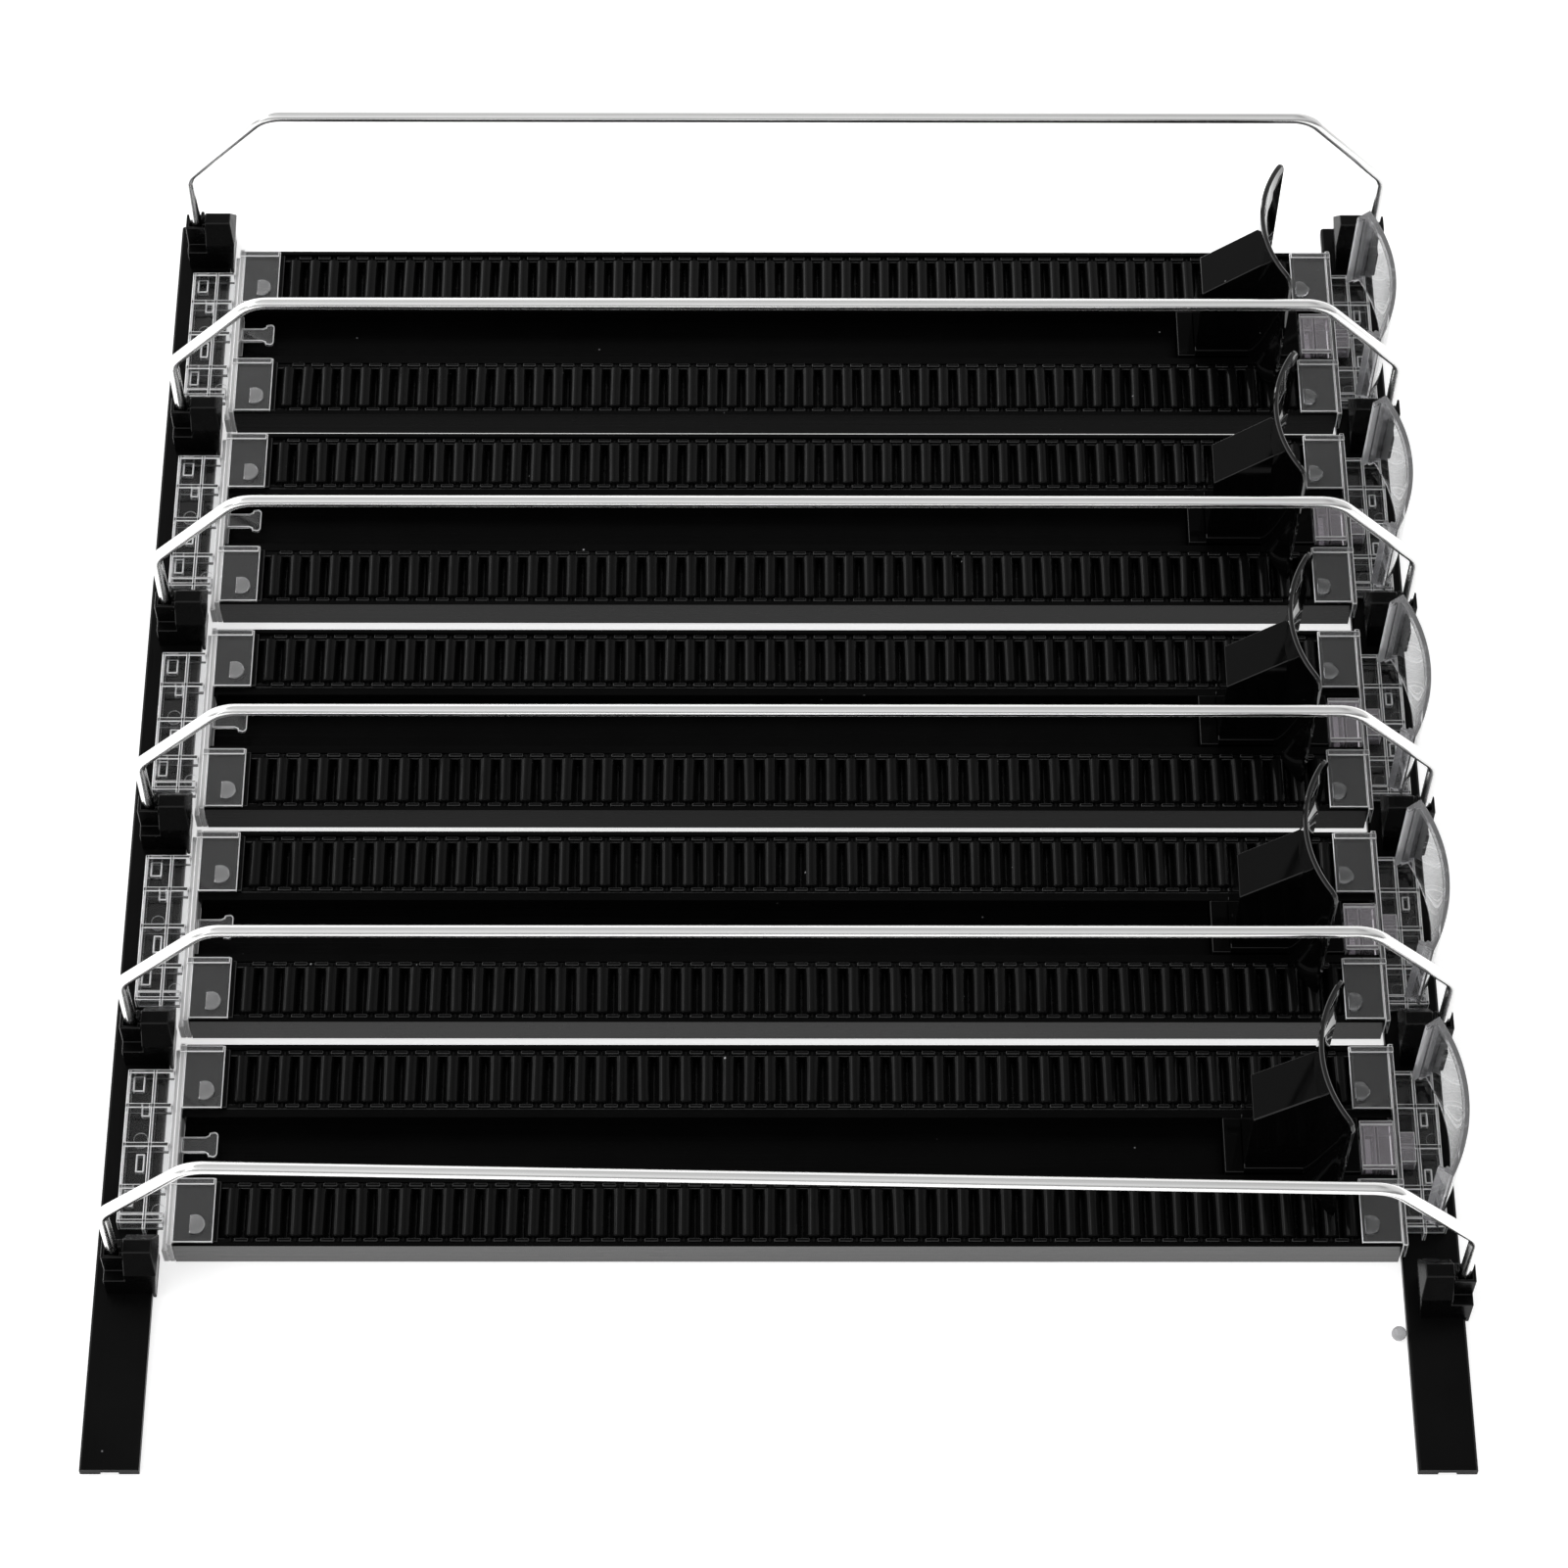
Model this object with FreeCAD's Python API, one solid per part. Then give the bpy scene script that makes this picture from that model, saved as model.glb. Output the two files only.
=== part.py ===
import math
import os

import FreeCAD
import Part

# Spring-fed five-lane can organizer, lying flat as on a fridge shelf. All sizes are in millimetres.
# +X runs along the lanes to the front stops, +Y across the lanes, +Z up, and the table is Z = 0.
# Lane 1 is the farthest one in +Y. The origin is the middle of the footprint.

# Driving sizes
LANES = 5
LANE_GAP = 8.0
LANE_SHIFTS = (-0.8, -0.1, -0.9, 0.0, 0.8)
TRACK_LENGTH = 336.4
TRACK_WIDTH = 62.0
TRACK_HEIGHT = 10.0
WALL = 1.2
FIT = 0.15
SLIDE_GAP = 0.4

CHANNEL_WIDTH = 20.0
CHANNEL_FLOOR = 1.6
STRIP_FLOOR = 3.4
LIP_REACH = 1.2
LIP_DROP = 0.9

ROLLERS = 53
ROLLER_RISE = 0.5
ROLLER_CREST = 0.52
ROLLER_DEPTH = 1.4
STRIP_RAIL = 1.7
STRIP_RAIL_DROP = 0.2
STRIP_DROP = 0.1
REAR_DECK = 12.7
FRONT_DECK = 10.4

RAIL_WIDTH = 16.0
RAIL_HEIGHT = 3.0
RAIL_GROOVE = 5.0
RAIL_GROOVE_DEPTH = 1.2
RAIL_BEVEL = 0.6
REAR_RAIL_GAP = 5.6
FRONT_RAIL_GAP = 0.8
RAIL_FAR_END = 10.2
RAIL_NEAR_END = 57.6

TAB_REACH = 11.0
TAB_THICK = 1.0
TAB_INSET = 0.8
END_WALL = 1.5
REAR_STEP = 1.7
TRAY_GAP = 4.8
TRAY_TOP = 8.0
TRAY_FLOOR = 1.0
TRAY_RIB_PITCH = 14.0
REAR_TRAY_REACH = 17.4
FRONT_TRAY_REACH = 13.8

TONGUE_REACH = 10.0
TONGUE_NECK = 4.0
TONGUE_HEAD = 6.6
TONGUE_Z = 5.0
ANCHOR_REACH = 9.3
ANCHOR_WIDTH = 15.0

CURVE_CHORDS = 8
STOP_RADIUS = 40.0
STOP_TOP = 40.0
STOP_WALL = 1.5
STOP_RIM = 2.6
STOP_RIM_THICK = 1.8
STOP_MID_REACH = 14.1
PEG_WIDTH = 3.0
PEG_Y = 11.5

SLED_LENGTH = 37.6
HOUSING_LENGTH = 16.6
HOUSING_WIDTH = 14.0
HOUSING_REAR_TOP = 39.0
HOUSING_FRONT_TOP = 53.4
HOUSING_WALL = 1.4
POCKET_TOP = 36.0
PADDLE_RADIUS = 38.0
PADDLE_HALF_CHORD = 22.6
PADDLE_THICK = 1.5
PADDLE_TOP = 64.0
PADDLE_SETBACK = 17.0
PADDLE_BEAD = 1.1
PADDLE_BEAD_HEIGHT = 1.8

COIL_RADIUS = 5.2
COIL_BORE = 2.8
COIL_WIDTH = 10.0
COIL_SIDES = 12
TAPE_THICK = 0.3
ARBOR = 3.4

WIRE_DIAMETER = 3.6
WIRE_SIDES = 10
WIRE_FOOT = 8.2
WIRE_SHOULDER = 41.0
WIRE_TOP = 70.1
WIRE_SLOPE = 25.95
WIRE_LOW_BEND = 7.0
WIRE_HIGH_BEND = 11.0

CLIP_INNER = 11.9
CLIP_OUTER = 3.0
REAR_HOOK = 2.3
FRONT_HOOK = 1.1
CLIP_HALF = 6.2
CLIP_STEP_TOP = 11.0
GABLE_EAVES = 14.5
GABLE_RIDGE = 20.5
GABLE_RIDGE_HALF = 2.0
GABLE_UNDERCUT = 1.3
GABLE_TAPER = 1.1
CLIP_HOOK_LIFT = 0.4
SOCKET_HALF = 2.8
SOCKET_TOP = 19.0
SOCKET_FLOOR = 8.0
LUG_HALF = 1.2
LUG_TOP = 22.5
LAST_CLIP_SHIFT = 7.0
MITRED = 1

# Sizes that follow
LANE_PITCH = TRACK_WIDTH + LANE_GAP
RAIL_LENGTH = LANES * LANE_PITCH + RAIL_FAR_END + RAIL_NEAR_END
LANE_MID_Y = (RAIL_NEAR_END - RAIL_FAR_END) / 2
HALF_TRACK = TRACK_LENGTH / 2
ROLLER_TOP = TRACK_HEIGHT + ROLLER_RISE
ROLLER_VALLEY = ROLLER_TOP - ROLLER_DEPTH
STRIP_TOP = TRACK_HEIGHT - STRIP_DROP
LIP_TOP = TRACK_HEIGHT - LIP_DROP
STRIP_RAIL_TOP = ROLLER_VALLEY - STRIP_RAIL_DROP
STRIP_INNER_Y = CHANNEL_WIDTH / 2 + WALL + FIT
STRIP_OUTER_Y = TRACK_WIDTH / 2 - WALL - FIT
TRAY_BASE = RAIL_HEIGHT
TRAY_HALF = LANE_PITCH / 2 - CLIP_HALF - TRAY_GAP
STOP_HALF_CHORD = TRAY_HALF - WALL
TAB_BASE = TRACK_HEIGHT
END_TOP = TAB_BASE + TAB_THICK
STOP_BASE = TRAY_TOP
REAR_RAIL_INNER = HALF_TRACK + REAR_RAIL_GAP
FRONT_RAIL_INNER = HALF_TRACK + FRONT_RAIL_GAP
FRONT_RAIL_OUTER = FRONT_RAIL_INNER + RAIL_WIDTH
REAR_WIRE = REAR_RAIL_INNER - FIT - REAR_HOOK + CLIP_INNER
FRONT_WIRE = FRONT_RAIL_OUTER + FIT + FRONT_HOOK - CLIP_OUTER
REAR_EXTENT = REAR_RAIL_INNER + RAIL_WIDTH
FRONT_EXTENT = FRONT_WIRE + CLIP_OUTER
MID_X = (REAR_EXTENT - FRONT_EXTENT) / 2
SLED_FRONT = HALF_TRACK - ANCHOR_REACH - SLIDE_GAP
SLED_BASE = CHANNEL_FLOOR + SLIDE_GAP
SLED_HALF = CHANNEL_WIDTH / 2 - SLIDE_GAP
NECK_HALF = CHANNEL_WIDTH / 2 - LIP_REACH - SLIDE_GAP
FLANGE_TOP = LIP_TOP - WALL - SLIDE_GAP * 2
PADDLE_BASE = ROLLER_TOP + SLIDE_GAP * 1.5
PADDLE_BACK = SLED_FRONT - PADDLE_SETBACK
COIL_Z = SLED_BASE + TAPE_THICK * 2 + COIL_RADIUS


def box(x0, x1, y0, y1, z0, z1):
    return Part.makeBox(x1 - x0, y1 - y0, z1 - z0, FreeCAD.Vector(x0, y0, z0))


def fused(shapes):
    return shapes[0].fuse(shapes[1:]).removeSplitter()


def at(shape, x=0.0, y=0.0, z=0.0):
    moved = shape.copy()
    moved.translate(FreeCAD.Vector(x, y, z))
    return moved


def mirrored(shape):
    """The same piece for the other end of the lane."""
    return shape.mirror(FreeCAD.Vector(0, 0, 0), FreeCAD.Vector(1, 0, 0))


def prism(corners, run):
    """A closed outline of vectors pushed along run."""
    wire = Part.makePolygon(corners + [corners[0]])
    return Part.Face(wire).extrude(run)


def prism_x(outline, x0, x1):
    corners = [FreeCAD.Vector(x0, y, z) for y, z in outline]
    return prism(corners, FreeCAD.Vector(x1 - x0, 0, 0))


def prism_y(outline, y0, y1):
    corners = [FreeCAD.Vector(x, y0, z) for x, z in outline]
    return prism(corners, FreeCAD.Vector(0, y1 - y0, 0))


def prism_z(outline, z0, z1):
    corners = [FreeCAD.Vector(x, y, z0) for x, y in outline]
    return prism(corners, FreeCAD.Vector(0, 0, z1 - z0))


def arc_points(centre_x, radius, half_angle, middle_angle):
    """Even steps along part of a circle about (centre_x, 0)."""
    step = 2 * half_angle / CURVE_CHORDS
    angles = [math.radians(middle_angle - half_angle + i * step) for i in range(CURVE_CHORDS + 1)]
    return [(centre_x + radius * math.cos(angle), radius * math.sin(angle)) for angle in angles]


def sector(centre_x, inner, outer, half_angle, middle_angle, z0, z1):
    """Upright curved wall: part of a ring about (centre_x, 0), between two heights."""
    outside = arc_points(centre_x, outer, half_angle, middle_angle)
    inside = arc_points(centre_x, inner, half_angle, middle_angle)
    return prism_z(outside + inside[::-1], z0, z1)


def lane_y(lane):
    """Middle line of a lane, counted from 1 at the far side; each sits a little off its even place."""
    return LANE_MID_Y + ((LANES + 1) / 2 - lane) * LANE_PITCH + LANE_SHIFTS[lane - 1]


def divider_y(divider):
    """Line between two lanes, or outside the first and last one, counted from 1 at the far side."""
    return LANE_MID_Y + (LANES / 2 + 1 - divider) * LANE_PITCH


def rail(inner_x, outer_x):
    """Flat base rail with bevelled top edges and a groove along its underside."""
    low, high = sorted((inner_x, outer_x))
    mid = (low + high) / 2
    outline = [
        (low, 0),
        (mid - RAIL_GROOVE / 2, 0),
        (mid - RAIL_GROOVE / 2, RAIL_GROOVE_DEPTH),
        (mid + RAIL_GROOVE / 2, RAIL_GROOVE_DEPTH),
        (mid + RAIL_GROOVE / 2, 0),
        (high, 0),
        (high, RAIL_HEIGHT - RAIL_BEVEL),
        (high - RAIL_BEVEL, RAIL_HEIGHT),
        (low + RAIL_BEVEL, RAIL_HEIGHT),
        (low, RAIL_HEIGHT - RAIL_BEVEL),
    ]
    return prism_y(outline, -RAIL_LENGTH / 2, RAIL_LENGTH / 2)


def lane_track():
    """Extruded track: a strip bay on each side and a lipped channel between them for the pusher."""
    side = TRACK_WIDTH / 2
    channel = CHANNEL_WIDTH / 2
    half = [
        (channel + WALL, 0),
        (channel + WALL, STRIP_FLOOR - WALL),
        (side - WALL, STRIP_FLOOR - WALL),
        (side - WALL, 0),
        (side, 0),
        (side, TRACK_HEIGHT),
        (side - WALL, TRACK_HEIGHT),
        (side - WALL, STRIP_FLOOR),
        (channel + WALL, STRIP_FLOOR),
        (channel + WALL, LIP_TOP),
        (channel - LIP_REACH, LIP_TOP),
        (channel - LIP_REACH, LIP_TOP - WALL),
        (channel, LIP_TOP - WALL),
        (channel, CHANNEL_FLOOR),
    ]
    outline = half + [(-y, z) for y, z in reversed(half)]
    return prism_x(outline, -HALF_TRACK, HALF_TRACK)


def roller_strip():
    """Ladder insert for one bay: side rails, plain decks at both ends and a row of rollers between."""
    first = -HALF_TRACK + REAR_DECK
    last = HALF_TRACK - FRONT_DECK
    pitch = (last - first) / ROLLERS
    shoulder = pitch * (1 - ROLLER_CREST) / 2
    top = [(-HALF_TRACK, STRIP_TOP), (first, STRIP_TOP)]
    for roller in range(ROLLERS):
        start = first + roller * pitch
        top += [
            (start, ROLLER_VALLEY),
            (start + shoulder, ROLLER_TOP),
            (start + pitch - shoulder, ROLLER_TOP),
        ]
    top += [(last, ROLLER_VALLEY), (last, STRIP_TOP), (HALF_TRACK, STRIP_TOP)]
    outline = top + [(HALF_TRACK, STRIP_FLOOR), (-HALF_TRACK, STRIP_FLOOR)]
    rollers = prism_y(outline, STRIP_INNER_Y + STRIP_RAIL, STRIP_OUTER_Y - STRIP_RAIL)
    rails = box(-HALF_TRACK, HALF_TRACK, STRIP_INNER_Y, STRIP_OUTER_Y, STRIP_FLOOR, STRIP_RAIL_TOP)
    rear_deck = box(-HALF_TRACK, first, STRIP_INNER_Y, STRIP_OUTER_Y, STRIP_FLOOR, STRIP_TOP)
    front_deck = box(last, HALF_TRACK, STRIP_INNER_Y, STRIP_OUTER_Y, STRIP_FLOOR, STRIP_TOP)
    return fused([rollers, rails, rear_deck, front_deck])


def tabs():
    """Two clear plates that hold the ends of both roller strips down, at the +X end."""
    inner = CHANNEL_WIDTH / 2 + TAB_INSET
    outer = TRACK_WIDTH / 2 - TAB_INSET
    start = HALF_TRACK - TAB_REACH
    end = HALF_TRACK + FIT + END_WALL
    return [
        box(start, end, inner, outer, TAB_BASE, END_TOP),
        box(start, end, -outer, -inner, TAB_BASE, END_TOP),
    ]


def tray(start, reach):
    """Ribbed open tray that straddles the rail, at the +X end."""
    end = HALF_TRACK + reach
    middle = (start + end) / 2
    shell = box(start, end, -TRAY_HALF, TRAY_HALF, TRAY_BASE, TRAY_TOP)
    hollow = box(
        start + WALL, end - WALL, -TRAY_HALF + WALL, TRAY_HALF - WALL, TRAY_BASE + TRAY_FLOOR, TRAY_TOP
    )
    ribs = [box(middle - WALL / 2, middle + WALL / 2, -TRAY_HALF, TRAY_HALF, TRAY_BASE, TRAY_TOP)]
    for rib in (-1, 0, 1):
        y = rib * TRAY_RIB_PITCH
        ribs.append(box(start, end, y - WALL / 2, y + WALL / 2, TRAY_BASE, TRAY_TOP))
    return [shell.cut(hollow)] + ribs


def rear_connector():
    """Clear end piece: tabs, a stepped wall behind the track, a tongue in the channel and a tray."""
    wall_start = HALF_TRACK + FIT
    wall_end = wall_start + END_WALL
    step_end = wall_end + REAR_STEP
    side = TRACK_WIDTH / 2
    neck_start = HALF_TRACK - TONGUE_REACH + TONGUE_NECK
    tongue = [
        (wall_start, -TONGUE_NECK / 2),
        (wall_start, TONGUE_NECK / 2),
        (neck_start, TONGUE_NECK / 2),
        (neck_start, TONGUE_HEAD / 2),
        (HALF_TRACK - TONGUE_REACH, TONGUE_HEAD / 2),
        (HALF_TRACK - TONGUE_REACH, -TONGUE_HEAD / 2),
        (neck_start, -TONGUE_HEAD / 2),
        (neck_start, -TONGUE_NECK / 2),
    ]
    solids = [
        box(wall_start, wall_end, -side, side, 0, END_TOP),
        box(wall_end, step_end, -side, side, 0, TRAY_TOP - WALL),
        prism_z(tongue, TONGUE_Z, TONGUE_Z + WALL),
    ]
    piece = fused(solids + tabs() + tray(step_end, REAR_TRAY_REACH))
    return mirrored(piece)


def front_connector():
    """Clear end piece: tabs, an end wall on the rail, a tray and the box that holds the spring's end."""
    wall_start = HALF_TRACK + FIT
    wall_end = wall_start + END_WALL
    side = TRACK_WIDTH / 2
    anchor_half = ANCHOR_WIDTH / 2
    anchor_start = HALF_TRACK - ANCHOR_REACH
    anchor_base = CHANNEL_FLOOR + FIT
    anchor = box(anchor_start, wall_start, -anchor_half, anchor_half, anchor_base, TAB_BASE)
    mouth = box(
        anchor_start,
        wall_start - WALL,
        -anchor_half + WALL,
        anchor_half - WALL,
        anchor_base + WALL,
        TAB_BASE - WALL,
    )
    solids = [
        anchor.cut(mouth),
        box(HALF_TRACK + FIT, wall_end, -anchor_half, anchor_half, TRAY_BASE, TAB_BASE),
        box(wall_start, wall_end, -side, side, TRAY_BASE, END_TOP),
    ]
    return fused(solids + tabs() + tray(wall_end, FRONT_TRAY_REACH))


def front_stop():
    """Clear curved stop that hugs the first can, with a raised rim and two pegs that plug into the tray."""
    centre = HALF_TRACK + STOP_MID_REACH - STOP_RADIUS
    half_angle = math.degrees(math.asin(STOP_HALF_CHORD / STOP_RADIUS))
    rim_angle = math.degrees(STOP_RIM_THICK / STOP_RADIUS)
    inner = STOP_RADIUS - STOP_WALL
    outer = STOP_RADIUS + STOP_RIM
    block = sector(centre, inner, outer, half_angle, 0, STOP_BASE, STOP_TOP)
    panel_back = sector(
        centre,
        STOP_RADIUS,
        outer + WALL,
        half_angle - rim_angle,
        0,
        STOP_BASE,
        STOP_TOP - STOP_RIM_THICK,
    )
    stop = block.cut(panel_back)
    peg_x = centre + math.sqrt(inner**2 - (PEG_Y - PEG_WIDTH / 2) ** 2)
    pegs = [
        box(
            peg_x,
            peg_x + STOP_WALL / 2,
            y - PEG_WIDTH / 2,
            y + PEG_WIDTH / 2,
            TRAY_BASE + TRAY_FLOOR + FIT,
            STOP_BASE + WALL,
        )
        for y in (-PEG_Y, PEG_Y)
    ]
    return fused([stop] + pegs)


def housing_outline(rear_x, front_x):
    """Side view of the wedge behind the paddle, from the top of the neck up."""
    return [
        (rear_x, STRIP_TOP),
        (front_x, STRIP_TOP),
        (front_x, HOUSING_FRONT_TOP),
        (rear_x, HOUSING_REAR_TOP),
    ]


def pusher():
    """Sled, spring housing and curved paddle in one moulding, at the front end of its travel."""
    sled_rear = SLED_FRONT - SLED_LENGTH
    housing_front = PADDLE_BACK + PADDLE_THICK * 2 / 3
    housing_rear = housing_front - HOUSING_LENGTH
    pocket_rear = housing_rear + HOUSING_WALL
    pocket_front = PADDLE_BACK - HOUSING_WALL
    pocket_half = HOUSING_WIDTH / 2 - HOUSING_WALL
    centre = PADDLE_BACK + PADDLE_RADIUS
    half_angle = math.degrees(math.asin(PADDLE_HALF_CHORD / PADDLE_RADIUS))
    inner = PADDLE_RADIUS - PADDLE_THICK
    bead = PADDLE_RADIUS + PADDLE_BEAD
    solids = [
        box(sled_rear, SLED_FRONT, -SLED_HALF, SLED_HALF, SLED_BASE, FLANGE_TOP),
        box(sled_rear, SLED_FRONT, -NECK_HALF, NECK_HALF, SLED_BASE, STRIP_TOP),
        box(housing_rear, housing_front, -NECK_HALF, NECK_HALF, STRIP_TOP, PADDLE_BASE + WALL),
        prism_y(housing_outline(housing_rear, housing_front), -HOUSING_WIDTH / 2, HOUSING_WIDTH / 2),
        sector(centre, inner, PADDLE_RADIUS, half_angle, 180, PADDLE_BASE, PADDLE_TOP),
        sector(centre, inner, bead, half_angle, 180, PADDLE_TOP - PADDLE_BEAD_HEIGHT, PADDLE_TOP),
    ]
    pocket = box(pocket_rear, pocket_front, -pocket_half, pocket_half, SLED_BASE, POCKET_TOP)
    tape_slot = box(
        pocket_rear,
        SLED_FRONT,
        -pocket_half,
        pocket_half,
        SLED_BASE,
        SLED_BASE + TAPE_THICK * 4,
    )
    coil_x = (pocket_rear + pocket_front) / 2
    arbor = box(
        coil_x - ARBOR / 2,
        coil_x + ARBOR / 2,
        -pocket_half,
        pocket_half,
        COIL_Z - ARBOR / 2,
        COIL_Z + ARBOR / 2,
    )
    return fused([fused(solids).cut(pocket).cut(tape_slot), arbor])


def coil_spring():
    """Flat steel tape rolled up on the pusher's arbor, its free end led forward under the sled."""
    housing_front = PADDLE_BACK + PADDLE_THICK * 2 / 3
    pocket_rear = housing_front - HOUSING_LENGTH + HOUSING_WALL
    coil_x = (pocket_rear + PADDLE_BACK - HOUSING_WALL) / 2

    def ring(radius):
        turn = 2 * math.pi / COIL_SIDES
        return [
            (coil_x + radius * math.sin(turn * (i + 0.5)), COIL_Z - radius * math.cos(turn * (i + 0.5)))
            for i in range(COIL_SIDES)
        ]

    half = COIL_WIDTH / 2
    flat = COIL_RADIUS * math.cos(math.pi / COIL_SIDES)
    roll = prism_y(ring(COIL_RADIUS), -half, half).cut(prism_y(ring(COIL_BORE), -half, half))
    tape = box(coil_x, SLED_FRONT, -half, half, COIL_Z - flat, COIL_Z - flat + TAPE_THICK)
    return fused([roll, tape])


def bend(before, corner, after, radius):
    """Where a rounded corner starts, its middle and where it ends."""
    back = (before - corner).normalize()
    ahead = (after - corner).normalize()
    half = back.getAngle(ahead) / 2
    cut = radius / math.tan(half)
    bisector = (back + ahead).normalize()
    middle = corner + bisector * (radius / math.sin(half) - radius)
    return corner + back * cut, middle, corner + ahead * cut


def divider_wire(rear_y, front_y):
    """Bent wire hoop from one clip to the other, in the upright plane through both its feet."""
    rise = [
        (-REAR_WIRE, WIRE_FOOT),
        (-REAR_WIRE, WIRE_SHOULDER),
        (-REAR_WIRE + WIRE_SLOPE, WIRE_TOP),
        (FRONT_WIRE - WIRE_SLOPE, WIRE_TOP),
        (FRONT_WIRE, WIRE_SHOULDER),
        (FRONT_WIRE, WIRE_FOOT),
    ]
    lean = (front_y - rear_y) / (REAR_WIRE + FRONT_WIRE)
    corners = [FreeCAD.Vector(x, rear_y + (x + REAR_WIRE) * lean, z) for x, z in rise]
    radii = [WIRE_LOW_BEND, WIRE_HIGH_BEND, WIRE_HIGH_BEND, WIRE_LOW_BEND]
    route = [corners[0]]
    for i, radius in enumerate(radii, start=1):
        route += bend(corners[i - 1], corners[i], corners[i + 1], radius)
    route.append(corners[-1])
    turn = 2 * math.pi / WIRE_SIDES
    ring = [
        corners[0] + FreeCAD.Vector(math.cos(i * turn), math.sin(i * turn), 0) * (WIRE_DIAMETER / 2)
        for i in range(WIRE_SIDES)
    ]
    section = Part.makePolygon(ring + [ring[0]])
    return Part.makePolygon(route).makePipeShell([section], True, False, MITRED)


def clip(wire_x, hook_start, hook_end):
    """Gabled clip that hooks over one edge of the rail and holds a wire foot, at the +X end about Y = 0."""
    inner = wire_x - CLIP_INNER
    outer = wire_x + CLIP_OUTER
    tower = wire_x - CLIP_OUTER
    hole = WIRE_DIAMETER / 2 + FIT
    side_view = [
        (inner + GABLE_UNDERCUT, RAIL_HEIGHT),
        (tower, RAIL_HEIGHT),
        (tower, GABLE_RIDGE),
        (inner + GABLE_TAPER, GABLE_RIDGE),
        (inner, GABLE_EAVES),
    ]
    end_view = [
        (-CLIP_HALF, RAIL_HEIGHT),
        (CLIP_HALF, RAIL_HEIGHT),
        (CLIP_HALF, GABLE_EAVES),
        (GABLE_RIDGE_HALF, GABLE_RIDGE),
        (-GABLE_RIDGE_HALF, GABLE_RIDGE),
        (-CLIP_HALF, GABLE_EAVES),
    ]
    gable = prism_y(side_view, -CLIP_HALF, CLIP_HALF).common(prism_x(end_view, inner, tower))
    solids = [
        gable,
        box(tower, outer, -CLIP_HALF, CLIP_HALF, RAIL_HEIGHT, CLIP_STEP_TOP),
        box(tower, outer, -SOCKET_HALF, SOCKET_HALF, RAIL_HEIGHT, SOCKET_TOP),
        box(tower, wire_x - hole, -LUG_HALF, LUG_HALF, RAIL_HEIGHT, LUG_TOP),
        box(hook_start, hook_end, -CLIP_HALF, CLIP_HALF, CLIP_HOOK_LIFT, RAIL_HEIGHT),
    ]
    socket = box(wire_x - hole, wire_x + hole, -hole, hole, SOCKET_FLOOR, SOCKET_TOP)
    return fused(solids).cut(socket)


def rear_clip():
    return mirrored(clip(REAR_WIRE, REAR_WIRE - CLIP_INNER + GABLE_UNDERCUT, REAR_RAIL_INNER - FIT))


def front_clip():
    return clip(FRONT_WIRE, FRONT_RAIL_OUTER + FIT, FRONT_WIRE + CLIP_OUTER)


def lane_nodes():
    """Every piece that repeats once a lane, by name."""
    strip = roller_strip()
    pieces = {
        "lane_track": lane_track(),
        "roller_strip_far": strip,
        "roller_strip_near": strip.mirror(FreeCAD.Vector(0, 0, 0), FreeCAD.Vector(0, 1, 0)),
        "rear_connector": rear_connector(),
        "front_connector": front_connector(),
        "front_stop": front_stop(),
        "pusher": pusher(),
        "coil_spring": coil_spring(),
    }
    return {
        f"{name}_{lane}": at(shape, MID_X, lane_y(lane))
        for name, shape in pieces.items()
        for lane in range(1, LANES + 1)
    }


def divider_nodes():
    """The wire hoops and the two clips of each."""
    rear = rear_clip()
    front = front_clip()
    nodes = {}
    for divider in range(1, LANES + 2):
        rear_y = divider_y(divider)
        front_y = rear_y
        if divider == LANES + 1:
            front_y -= LAST_CLIP_SHIFT
        nodes[f"rear_clip_{divider}"] = at(rear, MID_X, rear_y)
        nodes[f"front_clip_{divider}"] = at(front, MID_X, front_y)
        nodes[f"divider_wire_{divider}"] = at(divider_wire(rear_y, front_y), MID_X)
    return nodes


def all_nodes():
    nodes = {
        "rear_rail": at(rail(-REAR_RAIL_INNER, -REAR_EXTENT), MID_X),
        "front_rail": at(rail(FRONT_RAIL_INNER, FRONT_RAIL_OUTER), MID_X),
    }
    nodes.update(lane_nodes())
    nodes.update(divider_nodes())
    return nodes


os.makedirs("parts", exist_ok=True)
for name, shape in all_nodes().items():
    shape.exportStep(f"parts/{name}.step")
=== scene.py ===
import math

import bmesh
import bpy
import numpy as np
from mathutils import Matrix, Vector


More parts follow.
